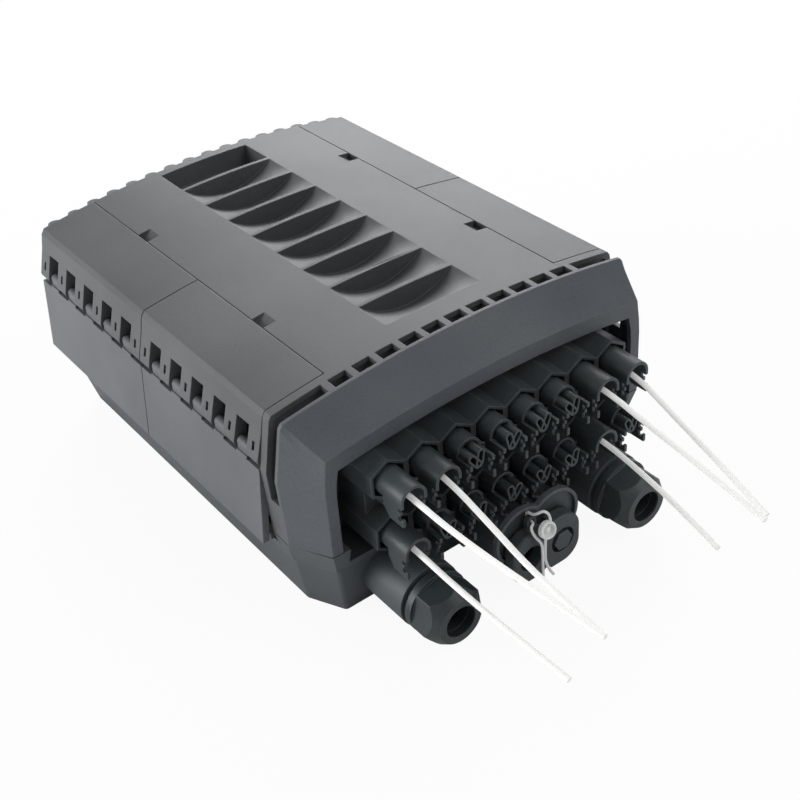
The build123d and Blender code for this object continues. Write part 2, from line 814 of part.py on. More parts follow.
with BuildPart() as port_block:
    with BuildSketch(cross_plane(port_plate_front + port_plate_thickness)):
        with Locations((0, (deck_z + 0.3 + port_plate_top) / 2)):
            Rectangle(2 * port_plate_half - 1.5, port_plate_top - deck_z - 0.3)
    extrude(amount=port_plate_thickness)
    with BuildSketch(cross_plane(port_plate_front)):
        for row_z in port_rows.values():
            with Locations((0, row_z)):
                with GridLocations(port_pitch, 1, ports_per_row, 1):
                    RegularPolygon(hex_radius + 0.01, 6, rotation=30)
    extrude(amount=port_plate_front - port_block_front)
    # Web between the rows, set back from the cells' rims
    with BuildSketch(cross_plane(port_plate_front)):
        with Locations((0, (block_top + block_bottom) / 2)):
            Rectangle(port_pitch * (ports_per_row - 0.3), block_top - block_bottom)
    extrude(amount=port_plate_front - cell_floor - 3)
    with BuildSketch(cross_plane(cell_floor)):
        for row_z in port_rows.values():
            with Locations((0, row_z)):
                with GridLocations(port_pitch, 1, ports_per_row, 1):
                    RegularPolygon(hex_radius - cell_wall * 1.16, 6, rotation=30)
    extrude(amount=cell_recess + 1, mode=Mode.SUBTRACT)
    with BuildSketch(cross_plane(port_plate_front + port_plate_thickness + 1)):
        for row_z in port_rows.values():
            with Locations((0, row_z)):
                with GridLocations(port_pitch, 1, ports_per_row, 1):
                    Circle(barrel_bore)
    extrude(amount=60, mode=Mode.SUBTRACT)
    with BuildSketch(cross_plane(cell_floor + barrel_seat_depth)):
        for row_z in port_rows.values():
            with Locations((0, row_z)):
                with GridLocations(port_pitch, 1, ports_per_row, 1):
                    Circle(barrel_radius)
    extrude(amount=30, mode=Mode.SUBTRACT)
    # Hollow pegs between the rows
    peg_z = (upper_row_z + lower_row_z) / 2 + 1
    with BuildSketch(cross_plane(cell_floor + 4)):
        with Locations((0, peg_z)):
            with GridLocations(port_pitch, 1, ports_per_row, 1):
                Circle(peg_radius)
    extrude(amount=10)
    with BuildSketch(cross_plane(cell_floor)):
        with Locations((0, peg_z)):
            with GridLocations(port_pitch, 1, ports_per_row, 1):
                Circle(peg_bore)
    extrude(amount=10, mode=Mode.SUBTRACT)
save(port_block, "port_block")

with BuildPart() as port_gasket:
    with BuildSketch(cross_plane(flange_front)):
        gasket_mid = (split_z + 0.6 + port_plate_top - 1.5) / 2
        gasket_tall = port_plate_top - 1.5 - split_z - 0.6
        with Locations((0, gasket_mid)):
            Rectangle(2 * port_plate_half - 3, gasket_tall)
            Rectangle(2 * port_plate_half - 7.4, gasket_tall - 4, mode=Mode.SUBTRACT)
    extrude(amount=flange_front - port_plate_front - port_plate_thickness)
save(port_gasket, "port_gasket")


# Drop ports: a hexagonal collar in the cell, a barrel, and an arched shroud with a
# stepped skirt down each side of the cable
barrel_root = cell_floor + barrel_seat_depth
barrel_front = barrel_root - barrel_length
shroud_front = barrel_front - shroud_reach


def skirt_profile(z):
    """The skirt seen from the side: its front edge steps back, and a hook ends its foot."""
    back = shroud_front + skirt_step
    foot_z = z - skirt_drop
    return [
        (barrel_front, z),
        (shroud_front, z),
        (shroud_front, z - 2.6),
        (back, z - 2.6),
        (back, z - 5.2),
        (back - 1.5, z - 5.2),
        (back - 1.5, z - 7.2),
        (back, z - 7.2),
        (back, foot_z + 2.4),
        (shroud_front + 1.0, foot_z + 2.4),
        (shroud_front + 1.0, foot_z + 4.2),
        (shroud_front - hook_reach + 1.0, foot_z + 4.2),
        (shroud_front - hook_reach + 1.0, foot_z),
        (barrel_front - 4.0, foot_z),
        (barrel_front, foot_z + 5.6),
    ]


def make_drop_port(x, z, fitted, leaf_lean):
    arch_reach = shroud_reach if fitted else open_arch
    with BuildPart() as port:
        with BuildSketch(cross_plane(cell_floor)):
            with Locations((x, z)):
                RegularPolygon(hex_radius - cell_wall * 1.16 - port_collar_gap, 6, rotation=30)
        extrude(amount=port_collar)
        with BuildSketch(cross_plane(barrel_root)):
            with Locations((x, z)):
                Circle(barrel_radius)
        extrude(amount=barrel_length)
        with BuildSketch(cross_plane(barrel_root)):
            with Locations((x, z)):
                Circle(barrel_bore)
        extrude(amount=barrel_length, mode=Mode.SUBTRACT)
        with BuildSketch(cross_plane(barrel_front)):
            with Locations((x, z)):
                Circle(barrel_radius)
                Circle(barrel_radius - shroud_wall, mode=Mode.SUBTRACT)
            with Locations((x, z - barrel_radius)):
                Rectangle(3 * barrel_radius, 2 * barrel_radius, mode=Mode.SUBTRACT)
        extrude(amount=arch_reach)
        for side in (-1, 1):
            wall_x = x + side * (barrel_radius - shroud_wall / 2)
            with BuildSketch(Plane.YZ.offset(wall_x - shroud_wall / 2)):
                Polygon(*skirt_profile(z), align=None)
            extrude(amount=shroud_wall)
        if not fitted:
            # Two looped clamp leaves stand open in the mouth of an unused port
            for lean in (-1, 1):
                tilt = radians(90 - lean * leaf_angle + leaf_lean)
                leaf_plane = Plane(
                    origin=(x, barrel_front + 0.5, z - 4.0),
                    x_dir=(cos(tilt), 0, sin(tilt)),
                    z_dir=(0, -1, 0),
                )
                with BuildSketch(leaf_plane):
                    with Locations((leaf_length / 2 - 1.2, 0)):
                        SlotOverall(leaf_length, leaf_width)
                        SlotOverall(
                            leaf_length - 2 * leaf_wall,
                            leaf_width - 2 * leaf_wall,
                            mode=Mode.SUBTRACT,
                        )
                extrude(amount=shroud_reach - 2.0)
    return port


fitted_ports = {("upper", 0), ("upper", 1), ("lower", 0), ("upper", 6), ("upper", 7), ("lower", 6)}
for row, row_z in port_rows.items():
    for index in range(ports_per_row):
        x = (index - (ports_per_row - 1) / 2) * port_pitch
        fitted = (row, index) in fitted_ports
        leaf_lean = 12 * (index % 3 - 1)
        port = make_drop_port(x, row_z, fitted, leaf_lean)
        save(port, f"drop_port_{row}_{index + 1}")

# Rubber grommets in the barrels: bored around a fitted cable, blind in an unused port
with BuildPart() as port_grommets:
    for row, row_z in port_rows.items():
        for index in range(ports_per_row):
            x = (index - (ports_per_row - 1) / 2) * port_pitch
            with BuildSketch(cross_plane(barrel_root - 1)):
                with Locations((x, row_z)):
                    Circle(barrel_bore)
                    if (row, index) in fitted_ports:
                        Circle(cable_radius, mode=Mode.SUBTRACT)
            extrude(amount=barrel_length - 2)
save(port_grommets, "port_grommets")


# Large glands: a threaded spigot in the tube, a sealing sleeve and a cap nut
spigot_front = gland_tube_end - spigot_collar - spigot_length
nut_rear = gland_tube_end - spigot_collar - nut_clearance
seal_front = spigot_front - gland_seal_length
gland_sides = {"left": -gland_x, "right": gland_x}

for name, x in gland_sides.items():
    with BuildPart() as gland_spigot:
        with BuildSketch(cross_plane(gland_tube_end + spigot_root)):
            with Locations((x, gland_z)):
                Circle(spigot_radius)
        extrude(amount=gland_tube_end + spigot_root - spigot_front)
        with BuildSketch(cross_plane(gland_tube_end)):
            with Locations((x, gland_z)):
                Circle(spigot_collar_radius)
        extrude(amount=spigot_collar)
        with BuildSketch(cross_plane(gland_tube_end + spigot_root + 1)):
            with Locations((x, gland_z)):
                Circle(gland_bore)
        extrude(amount=60, mode=Mode.SUBTRACT)
    save(gland_spigot, f"gland_spigot_{name}")

    with BuildPart() as gland_nut:
        with BuildSketch(cross_plane(nut_rear)):
            with Locations((x, gland_z)):
                Circle(nut_flange_radius)
        extrude(amount=nut_flange)
        with BuildSketch(cross_plane(nut_rear - nut_flange)):
            with Locations((x, gland_z)):
                RegularPolygon(nut_across_flats / 2, 6, major_radius=False, rotation=15)
        extrude(amount=nut_rear - nut_flange - nut_front)
        # Domed end: turn the corners down to the cable hole
        nose_x = x + nut_across_flats / 2 - 2.6
        with BuildSketch(Plane.XY.offset(gland_z)):
            with BuildLine():
                Polyline(
                    (nose_x, nut_front - 1),
                    (nose_x, nut_front),
                    (x + nut_flange_radius + 0.6, nut_front + nut_dome),
                    (x + 2 * nut_flange_radius, nut_front + nut_dome),
                    (x + 2 * nut_flange_radius, nut_front - 1),
                    (nose_x, nut_front - 1),
                )
            make_face()
        revolve(axis=Axis((x, 0, gland_z), (0, 1, 0)), mode=Mode.SUBTRACT)
        with BuildSketch(cross_plane(nut_rear + 1)):
            with Locations((x, gland_z)):
                Circle(spigot_radius + thread_clearance)
        extrude(amount=nut_rear + 1 - seal_front + nut_clearance, mode=Mode.SUBTRACT)
        with BuildSketch(cross_plane(nut_rear)):
            with Locations((x, gland_z)):
                Circle(gland_bore)
        extrude(amount=60, mode=Mode.SUBTRACT)
    save(gland_nut, f"gland_nut_{name}")

with BuildPart() as gland_seals:
    with BuildSketch(cross_plane(spigot_front)):
        with Locations(*gland_places):
            Circle(spigot_radius - 0.8)
            Circle(gland_bore, mode=Mode.SUBTRACT)
    extrude(amount=gland_seal_length)
save(gland_seals, "gland_seals")


# Feeder port: a seal and a clamp plate on the collar, with one entry plugged
clamp_rear = feeder_tube_end - clamp_seal_thickness
clamp_front = clamp_rear - clamp_thickness
clamp_half = feeder_x + feeder_lobe

with BuildPart() as feeder_seal:
    with BuildSketch(cross_plane(feeder_tube_end)):
        with Locations((0, feeder_z)):
            RectangleRounded(2 * clamp_half - 1, feeder_height - 1, feeder_lobe - 1)
        with Locations((-feeder_x, feeder_z), (feeder_x, feeder_z)):
            Circle(feeder_hole, mode=Mode.SUBTRACT)
    extrude(amount=clamp_seal_thickness)
save(feeder_seal, "feeder_seal")

with BuildPart() as feeder_clamp:
    with BuildSketch(cross_plane(clamp_rear)):
        with Locations((0, feeder_z)):
            RectangleRounded(2 * clamp_half, feeder_height, feeder_lobe - 0.5)
    extrude(amount=clamp_thickness)
    fillet(feeder_clamp.faces().sort_by(Axis.Y)[0].outer_wire().edges(), 1.5)
    # The waist between the two lobes
    with BuildSketch(cross_plane(clamp_rear)):
        for z in (feeder_z - feeder_height / 2, feeder_z + feeder_height / 2):
            with Locations((0, z)):
                Circle(3.2)
    extrude(amount=clamp_thickness, mode=Mode.SUBTRACT)
    with BuildSketch(cross_plane(clamp_rear)):
        with Locations((-feeder_x, feeder_z), (feeder_x, feeder_z)):
            Circle(feeder_hole)
    extrude(amount=clamp_thickness, mode=Mode.SUBTRACT)
    # Eye for the tamper seal's wire
    eye_radius, eye_thickness = 3.0, 3.0
    eye_x, eye_z = -6.8, feeder_z + feeder_height / 2 + 4.4
    with BuildSketch(cross_plane(clamp_rear)):
        with Locations((eye_x, eye_z)):
            Circle(eye_radius)
        with Locations((eye_x, eye_z - eye_radius)):
            Rectangle(2 * eye_radius, 2 * eye_radius)
        with Locations((eye_x, eye_z)):
            Circle(1.5, mode=Mode.SUBTRACT)
    extrude(amount=eye_thickness)
save(feeder_clamp, "feeder_clamp")

with BuildPart() as feeder_plug:
    plug_rear = clamp_rear + 6
    with BuildSketch(cross_plane(plug_rear)):
        with Locations((feeder_x, feeder_z)):
            Circle(feeder_hole - 0.02)
    extrude(amount=plug_rear - clamp_front - 4.0)
    with BuildSketch(cross_plane(clamp_front + 4.0)):
        with Locations((feeder_x, feeder_z)):
            RegularPolygon(5.2, 6, major_radius=False)
    extrude(amount=4.6)
save(feeder_plug, "feeder_plug")


# Tamper seal: a wire loop through the eye, closed by a crimped bead
wire_radius = 0.65
bead_radius = 3.9
bead_thickness = 3.4
seal_y = clamp_front - 5.0
bead_centre = (-3.2, seal_y, feeder_z + 17.0)
with BuildPart() as seal_bead:
    with BuildSketch(cross_plane(seal_y + bead_thickness / 2)):
        with Locations((bead_centre[0], bead_centre[2])):
            Circle(bead_radius)
    extrude(amount=bead_thickness)
    fillet(seal_bead.edges(), 1.0)
    # A crimp mark sunk in the bead's face
    with BuildSketch(cross_plane(seal_y - bead_thickness / 2)):
        with Locations((bead_centre[0], bead_centre[2])):
            Circle(2.2)
            Rectangle(3.4, 0.8, mode=Mode.SUBTRACT)
    extrude(amount=-0.6, mode=Mode.SUBTRACT)
save(seal_bead, "seal_bead")

# The wire rises from one tail, passes over and back through the eye, and ends below the bead
wire_points = [
    (-4.9, seal_y - 0.6, feeder_z - 9.5),
    (-5.4, seal_y, feeder_z + 6.0),
    (-10.4, seal_y + 0.6, feeder_z + 15.5),
    (-11.4, clamp_front - 1.5, feeder_z + 22.4),
    (eye_x - 2.6, clamp_rear - 2.8, eye_z + 4.9),
    (eye_x - 0.4, clamp_rear + 3.2, eye_z + 2.8),
    (eye_x - 0.1, clamp_rear + 2.8, eye_z),
    (eye_x, clamp_front + 1.0, eye_z),
    (bead_centre[0] - 0.2, seal_y, bead_centre[2] + 1.0),
    (bead_centre[0] - 1.0, seal_y - 0.4, feeder_z + 7.0),
    (bead_centre[0] - 0.7, seal_y - 0.4, feeder_z - 3.0),
    (bead_centre[0] + 2.4, seal_y - 1.0, feeder_z - 11.5),
]


def tube_path_radii(points):
    """The largest fillet that each corner's two runs allow."""
    vectors = [Vector(*point) for point in points]
    radii = []
    for before, here, after in zip(vectors, vectors[1:], vectors[2:]):
        turn = (here - before).get_angle(after - here)
        run = min((here - before).length, (after - here).length)
        radii.append(0.45 * run / tan(radians(turn / 2)))
    return radii


def make_tube(points, radius, radii):
    with BuildPart() as tube:
        with BuildLine() as route:
            FilletPolyline(*points, radius=radii)
        start = Plane(origin=route.line @ 0, z_dir=route.line % 0)
        with BuildSketch(start):
            Circle(radius)
        sweep(path=route.line)
    return tube, sum(edge.length for edge in route.line.edges())


seal_wire, seal_wire_length = make_tube(
    wire_points, wire_radius, tube_path_radii(wire_points)
)
save(seal_wire, "seal_wire")


# Drop cables: bare stubs, nearly straight, drooping a little from their ports
cable_start_y = barrel_root - 5.0
cable_straight = 24.0
drop_cables = {
    "a": ("upper", 0, [(-71.2, -192, 89.0), (-67.6, -236, 87.2), (-61.6, -279, 84.6)]),
    "b": ("upper", 1, [(-51.9, -193, 84.6), (-53.0, -230, 75.4), (-50.8, -266, 69.0)]),
    "c": ("lower", 0, [(-71.9, -192, 56.4), (-70.9, -229, 54.6), (-68.0, -265, 51.6)]),
    "d": ("upper", 6, [(51.5, -192, 85.6), (51.2, -230, 80.4), (50.2, -268, 74.0)]),
    "e": ("upper", 7, [(70.6, -191, 81.6), (67.2, -226, 72.4), (62.2, -260, 64.6)]),
    "f": ("lower", 6, [(50.3, -190, 55.2), (47.8, -219, 51.6), (44.2, -248, 46.4)]),
}
for name, (row, index, points) in drop_cables.items():
    x = (index - (ports_per_row - 1) / 2) * port_pitch
    z = port_rows[row]
    route = [(x, cable_start_y, z), (x, cable_start_y - cable_straight, z)] + points
    radii = tube_path_radii(route)
    cable, length = make_tube(route, cable_radius, radii)
    section = 3.14159265 * cable_radius**2
    print(
        f"drop_cable_{name} length {length:.1f} radii {[round(r) for r in radii]}",
        f"volume share {cable.part.volume / (section * length):.4f}",
    )
    save(cable, f"drop_cable_{name}")


# Inside: a carrier plate on the posts, splice trays stacked on it, and a splitter
with BuildPart() as tray_carrier:
    carrier_y = (post_front_y + post_rear_y) / 2
    with BuildSketch(Plane.XY.offset(carrier_top - carrier_thickness)):
        with Locations((0, carrier_y)):
            RectangleRounded(
                2 * (post_x + carrier_margin),
                post_rear_y - post_front_y + 2 * carrier_margin,
                carrier_margin,
            )
        with Locations(*post_places):
            Circle(carrier_screw_radius + 0.1, mode=Mode.SUBTRACT)
        with Locations((0, post_front_y + 4)):
            SlotOverall(post_x, 14, mode=Mode.SUBTRACT)
    extrude(amount=carrier_thickness)
    with BuildSketch(Plane.XY.offset(carrier_top)):
        with Locations((0, tray_y)):
            with GridLocations(tray_width - 16, tray_length - 16, 2, 2):
                Circle(3.0)
    extrude(amount=tray_stack_z - carrier_top)
save(tray_carrier, "tray_carrier")

for index in range(tray_count):
    tray_base = tray_stack_z + index * (tray_height + tray_gap)
    with BuildPart() as splice_tray:
        with BuildSketch(Plane.XY.offset(tray_base)):
            with Locations((0, tray_y)):
                RectangleRounded(tray_width, tray_length, tray_corner)
        extrude(amount=tray_height)
        with BuildSketch(Plane.XY.offset(tray_base + tray_wall)):
            with Locations((0, tray_y)):
                RectangleRounded(
                    tray_width - 2 * tray_wall,
                    tray_length - 2 * tray_wall,
                    tray_corner - tray_wall,
                )
        extrude(amount=tray_height, mode=Mode.SUBTRACT)
        # Two bend guides and the comb that holds the splices
        with BuildSketch(Plane.XY.offset(tray_base + tray_wall)):
            for y in (tray_y - 42, tray_y + 42):
                with Locations((0, y)):
                    Circle(17.0)
                    Circle(15.4, mode=Mode.SUBTRACT)
        extrude(amount=tray_height - 2 * tray_wall)
        with BuildSketch(Plane.XY.offset(tray_base + tray_wall)):
            with Locations((0, tray_y)):
                with GridLocations(4.6, 1, 9, 1):
                    Rectangle(1.2, 40)
        extrude(amount=4.0)
        # Feet that keep the trays apart
        with BuildSketch(Plane.XY.offset(tray_base + tray_height)):
            with Locations((0, tray_y)):
                with GridLocations(tray_width - 2 * tray_wall + 1.4, 40, 2, 2):
                    Rectangle(1.6, 8)
        extrude(amount=tray_gap)
    save(splice_tray, f"splice_tray_{index + 1}")

with BuildPart() as tray_lid:
    lid_z = tray_stack_z + tray_count * (tray_height + tray_gap)
    with BuildSketch(Plane.XY.offset(lid_z)):
        with Locations((0, tray_y)):
            RectangleRounded(tray_width, tray_length, tray_corner)
    extrude(amount=1.5)
save(tray_lid, "tray_lid")

with BuildPart() as carrier_screws:
    with BuildSketch(Plane.XY.offset(carrier_top - carrier_thickness - 9)):
        with Locations(*post_places):
            Circle(carrier_screw_radius)
    extrude(amount=9 + carrier_thickness)
    with BuildSketch(Plane.XY.offset(carrier_top)):
        with Locations(*post_places):
            Circle(3.2)
    extrude(amount=2.2)
save(carrier_screws, "carrier_screws")

splitter_width, splitter_height = 24.0, 12.0
with BuildPart() as splitter_module:
    with BuildSketch(Plane.XY.offset(carrier_top)):
        with Locations((-(tray_width / 2 + splitter_width / 2 + 4), tray_y)):
            RectangleRounded(splitter_width, tray_length - 40, 2.0)
    extrude(amount=splitter_height)
save(splitter_module, "splitter_module")

# The bar behind the glands that the cables' strength members clamp to
with BuildPart() as anchor_bar:
    bar_y = base_bottom_front + 26.0
    with BuildSketch(Plane.XY.offset(base_floor)):
        with Locations((0, bar_y)):
            Rectangle(2 * (gland_x + 12.0), 12.0)
    extrude(amount=5.0)
    for x in gland_sides.values():
        with BuildSketch(Plane.XY.offset(base_floor)):
            with Locations((x, bar_y)):
                Rectangle(18.0, 12.0)
        extrude(amount=gland_z - gland_bore - base_floor)
save(anchor_bar, "anchor_bar")
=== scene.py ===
# %% [markdown]
# # A fibre distribution box, dressed in Blender
# The box is an outdoor closure for optical fibre: a tub, a domed cover held by four
# over-centre latches, two rows of drop-cable ports under a hood, and two large glands.
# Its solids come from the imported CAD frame, so this lesson adds what a camera sees:
# the moulded plastics, the white cables, the light and the floor.

# %% Load the frame
import json
from math import cos, pi, radians, sin

import bpy
from mathutils import Matrix, Vector


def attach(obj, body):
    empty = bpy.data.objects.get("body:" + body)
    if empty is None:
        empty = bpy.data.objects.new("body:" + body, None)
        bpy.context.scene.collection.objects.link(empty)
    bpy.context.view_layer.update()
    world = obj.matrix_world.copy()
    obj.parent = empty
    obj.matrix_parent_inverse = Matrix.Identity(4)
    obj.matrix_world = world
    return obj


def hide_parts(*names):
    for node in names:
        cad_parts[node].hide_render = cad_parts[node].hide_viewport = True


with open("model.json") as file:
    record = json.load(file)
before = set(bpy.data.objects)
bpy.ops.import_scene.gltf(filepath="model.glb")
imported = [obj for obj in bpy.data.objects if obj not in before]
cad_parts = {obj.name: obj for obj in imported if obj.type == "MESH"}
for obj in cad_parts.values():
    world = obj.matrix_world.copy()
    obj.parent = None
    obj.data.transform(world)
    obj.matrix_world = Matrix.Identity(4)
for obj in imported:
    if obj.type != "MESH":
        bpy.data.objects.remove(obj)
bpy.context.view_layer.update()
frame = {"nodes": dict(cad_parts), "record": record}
bpy.context.scene.view_settings.view_transform = "Standard"

# %% [markdown]
# ## The camera
# A product shot is taken from a few times the object's length away, so that its parallel
# edges run together only a little. This camera stands about 0.75 m from the middle of the
# box with a 59 mm lens. Its turn is built from three directions: back, right and up.

# %% Camera
mm = 0.001
camera_place = Vector((-331.3, -540.2, 480.6)) * mm
azimuth, elevation, roll = radians(-34.43), radians(36.15), radians(-4.93)

back = Vector((sin(azimuth) * cos(elevation), -cos(azimuth) * cos(elevation), sin(elevation)))
level_right = (-back).cross(Vector((0, 0, 1))).normalized()
level_up = level_right.cross(-back)
right = level_right * cos(roll) + level_up * sin(roll)
up = level_up * cos(roll) - level_right * sin(roll)

camera_data = bpy.data.cameras.new("product_camera")
camera_data.sensor_width = 36.0
camera_data.lens = 58.95
camera_data.clip_start = 0.01
camera = bpy.data.objects.new("product_camera", camera_data)
axes = Matrix((right, up, back)).transposed().to_4x4()
camera.matrix_world = Matrix.Translation(camera_place) @ axes
bpy.context.scene.collection.objects.link(camera)
bpy.context.scene.camera = camera
print("camera at", [round(v, 3) for v in camera_place])

# %% [markdown]
# ## The drop cables
# Six round drop cables, 3 mm thick, leave their grommets straight and droop a little.
# A stiff cable bends in long smooth curves, so each is one NURBS spline of order 3 with
# the points of the tube's route in the CAD. Each row of the table gives the cable's port,
# its length and the points past the port, all in millimetres.

# %% Drop cable routes
cable_diameter = 3.0 * mm
row_height = {"upper": 91.2, "lower": 58.5}
port_pitch = 20.5
cable_start, cable_turn = -140.0, -164.0

drop_routes = {
    "a": ("upper", 0, 139.7, [(-71.2, -192, 89.0), (-67.6, -236, 87.2), (-61.6, -279, 84.6)]),
    "b": ("upper", 1, 128.4, [(-51.9, -193, 84.6), (-53.0, -230, 75.4), (-50.8, -266, 69.0)]),
    "c": ("lower", 0, 125.4, [(-71.9, -192, 56.4), (-70.9, -229, 54.6), (-68.0, -265, 51.6)]),
    "d": ("upper", 6, 129.4, [(51.5, -192, 85.6), (51.2, -230, 80.4), (50.2, -268, 74.0)]),
    "e": ("upper", 7, 124.0, [(70.6, -191, 81.6), (67.2, -226, 72.4), (62.2, -260, 64.6)]),
    "f": ("lower", 6, 109.2, [(50.3, -190, 55.2), (47.8, -219, 51.6), (44.2, -248, 46.4)]),
}


def smooth_line(name, points, diameter):
    """A round strand: one open NURBS spline with its control points in millimetres.

    Each point carries the strand's radius, and a bevel depth of 1 takes it as it is.
    """
    curve = bpy.data.curves.new(name, "CURVE")
    curve.dimensions = "3D"
    curve.bevel_depth = 1.0
    curve.bevel_resolution = 5
    curve.resolution_u = 16
    curve.use_fill_caps = True
    spline = curve.splines.new("NURBS")
    spline.points.add(len(points) - 1)
    for spot, point in zip(spline.points, points):
        spot.co = (*(Vector(point) * mm), 1.0)
        spot.radius = diameter / 2
    spline.order_u = 3
    spline.use_endpoint_u = True
    piece = bpy.data.objects.new(name, curve)
    bpy.context.scene.collection.objects.link(piece)
    return piece


# %% Lay the cables
cables = []
for letter, (row, index, length, tail) in drop_routes.items():
    x = (index - 3.5) * port_pitch
    z = row_height[row]
    points = [(x, cable_start, z), (x, cable_turn, z)] + tail
    cable = smooth_line(f"white_cable_{letter}", points, cable_diameter)
    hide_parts(f"drop_cable_{letter}")
    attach(cable, "housing")
    cables.append(cable)
print("cables:", len(cables))

# %% [markdown]
# ## The tamper seal
# A pull-tight seal is a thin nylon strap moulded in one with a round lock. The strap
# goes through the eye of the clamp and back through the lock. As it is a bent strand, it
# is drawn with the same kind of spline as the cables, and the lock is a turned profile.

# %% Seal strap
strap_points = [
    (-6.6, -181.0, 12.5), (-6.9, -181.0, 20.0), (-7.0, -181.0, 29.0), (-7.2, -180.8, 35.0),
    (-10.6, -179.2, 40.2), (-11.0, -176.6, 44.6), (-6.8, -174.6, 43.9), (-6.8, -168.9, 43.9),
    (-6.7, -168.9, 47.9), (-6.5, -173.0, 48.3), (-6.2, -176.0, 50.4), (-3.6, -177.8, 52.2),
    (-1.4, -179.4, 50.2), (-1.8, -181.6, 46.4), (-5.6, -182.0, 41.0), (-5.7, -181.4, 33.0),
    (-5.6, -181.4, 19.0), (-0.4, -181.8, 10.4),
]
strap_diameter = 1.5 * mm
seal_strap = smooth_line("seal_strap", strap_points, strap_diameter)
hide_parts("seal_wire")
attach(seal_strap, "housing")
print("strap points:", len(strap_points))


# %% Seal lock
def mesh_piece(name, corners, faces):
    """A new object in the scene from corners in metres and faces."""
    mesh = bpy.data.meshes.new(name)
    mesh.from_pydata(corners, [], faces)
    mesh.update()
    piece = bpy.data.objects.new(name, mesh)
    bpy.context.scene.collection.objects.link(piece)
    return piece


def turned(name, profile, centre, facing, steps=40):
    """A body of revolution: profile points are (radius, height along facing) in mm."""
    turn = facing.to_track_quat("Z", "Y").to_matrix()
    corners, faces = [], []
    for radius, height in profile:
        for step in range(steps):
            angle = 2 * pi * step / steps
            local = Vector((radius * cos(angle), radius * sin(angle), height))
            corners.append((centre + turn @ local) * mm)
    for ring in range(len(profile) - 1):
        for step in range(steps):
            here, after = ring * steps + step, ring * steps + (step + 1) % steps
            faces.append((here, after, after + steps, here + steps))
    faces.append(tuple(range(steps))[::-1])
    faces.append(tuple((len(profile) - 1) * steps + step for step in range(steps)))
    return mesh_piece(name, corners, faces)


lock_profile = [
    (2.6, -1.7), (4.3, -1.7), (4.8, -1.2), (4.8, 1.0), (4.4, 1.6), (3.6, 1.6), (3.2, -0.7),
    (1.6, -0.7), (1.2, 0.6), (0.5, 0.8),
]
lock_centre = Vector((-5.0, -182.4, 43.6))
lock_facing = Vector((-0.05, -0.96, 0.27)).normalized()
seal_lock = turned("seal_lock", lock_profile, lock_centre, lock_facing)
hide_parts("seal_bead")
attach(seal_lock, "housing")
print("lock corners:", len(seal_lock.data.vertices))

# %% [markdown]
# ## The web behind the feeder rim
# A thin web closes the space between the feeder collar and the two-lobed rim round it.
# It is one bent strip of plate: each point of the rim is joined to the nearest point of
# the collar, which is a rounded rectangle. All sizes are in millimetres. Its dark colour is
# painted shade for the deep space between the rim and the collar.

# %% Rim web
feeder_x, feeder_z = 10.5, 24.0
rim_radius, rim_z = 15.8, 34.5
half_width, half_height, corner = 22.5, 15.5, 11.5
web_rear, web_front = -166.9, -168.1
sunk = 0.2


def nearest_on_collar(x, z):
    """The nearest point of the collar's outline, a rounded rectangle, in mm."""
    held_x = max(corner - half_width, min(half_width - corner, x))
    held_z = max(corner - half_height, min(half_height - corner, z - feeder_z))
    away = Vector((x - held_x, z - feeder_z - held_z)).normalized() * (corner - sunk)
    return held_x + away.x, feeder_z + held_z + away.y


# The left lobe from its foot to the waist, then the right lobe to its foot
rim_line = []
for side, angles in ((-1, range(222, 46, -8)), (1, range(134, -43, -8))):
    for angle in angles:
        x = side * feeder_x + rim_radius * cos(radians(angle))
        if side * x > 0 or abs(x) < 0.01:
            rim_line.append((x, rim_z + rim_radius * sin(radians(angle))))
web_corners, web_faces = [], []
for x, z in rim_line:
    near_x, near_z = nearest_on_collar(x, z)
    for y in (web_rear, web_front):
        web_corners += [Vector((x, y, z)) * mm, Vector((near_x, y, near_z)) * mm]
for k in range(len(rim_line) - 1):
    a, b = 4 * k, 4 * (k + 1)
    web_faces += [(a, a + 1, b + 1, b), (a + 3, a + 2, b + 2, b + 3)]
    web_faces += [(a + 2, a, b, b + 2), (a + 1, a + 3, b + 3, b + 1)]
last = 4 * (len(rim_line) - 1)
web_faces += [(1, 0, 2, 3), (last, last + 1, last + 3, last + 2)]
shade_rim_web = mesh_piece("feeder_rim_shade_web", web_corners, web_faces)
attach(shade_rim_web, "housing")
print("web strips:", len(rim_line) - 1)

# %% [markdown]
# ## Colour and nodes
# Colours are written as the sRGB hex values that an artist picks, and Blender works in
# linear light, so one function converts them. A second one adds a shader node with its
# settings and links in one call, which keeps each material readable.

# %% Helpers
def linear(hex_colour):
    """Turn an sRGB hex colour into linear RGBA."""
    srgb = [int(hex_colour[i : i + 2], 16) / 255 for i in (1, 3, 5)]
    return [v / 12.92 if v <= 0.04045 else ((v + 0.055) / 1.055) ** 2.4 for v in srgb] + [1.0]


def add_node(tree, kind, settings=None, values=None, links=None):
    """Add a node; set its attributes and input values, and link its inputs."""
    node = tree.nodes.new(kind)
    for key, value in (settings or {}).items():
        setattr(node, key, value)
    for key, value in (values or {}).items():
        node.inputs[key].default_value = value
    for key, source in (links or {}).items():
        tree.links.new(source, node.inputs[key])
    return node


def new_material(name):
    """An empty node material with its shader and output, ready for links."""
    material = bpy.data.materials.new(name)
    material.use_nodes = True
    tree = material.node_tree
    tree.nodes.clear()
    shader = add_node(tree, "ShaderNodeBsdfPrincipled")
    add_node(tree, "ShaderNodeOutputMaterial", links={"Surface": shader.outputs["BSDF"]})
    return material, tree, shader
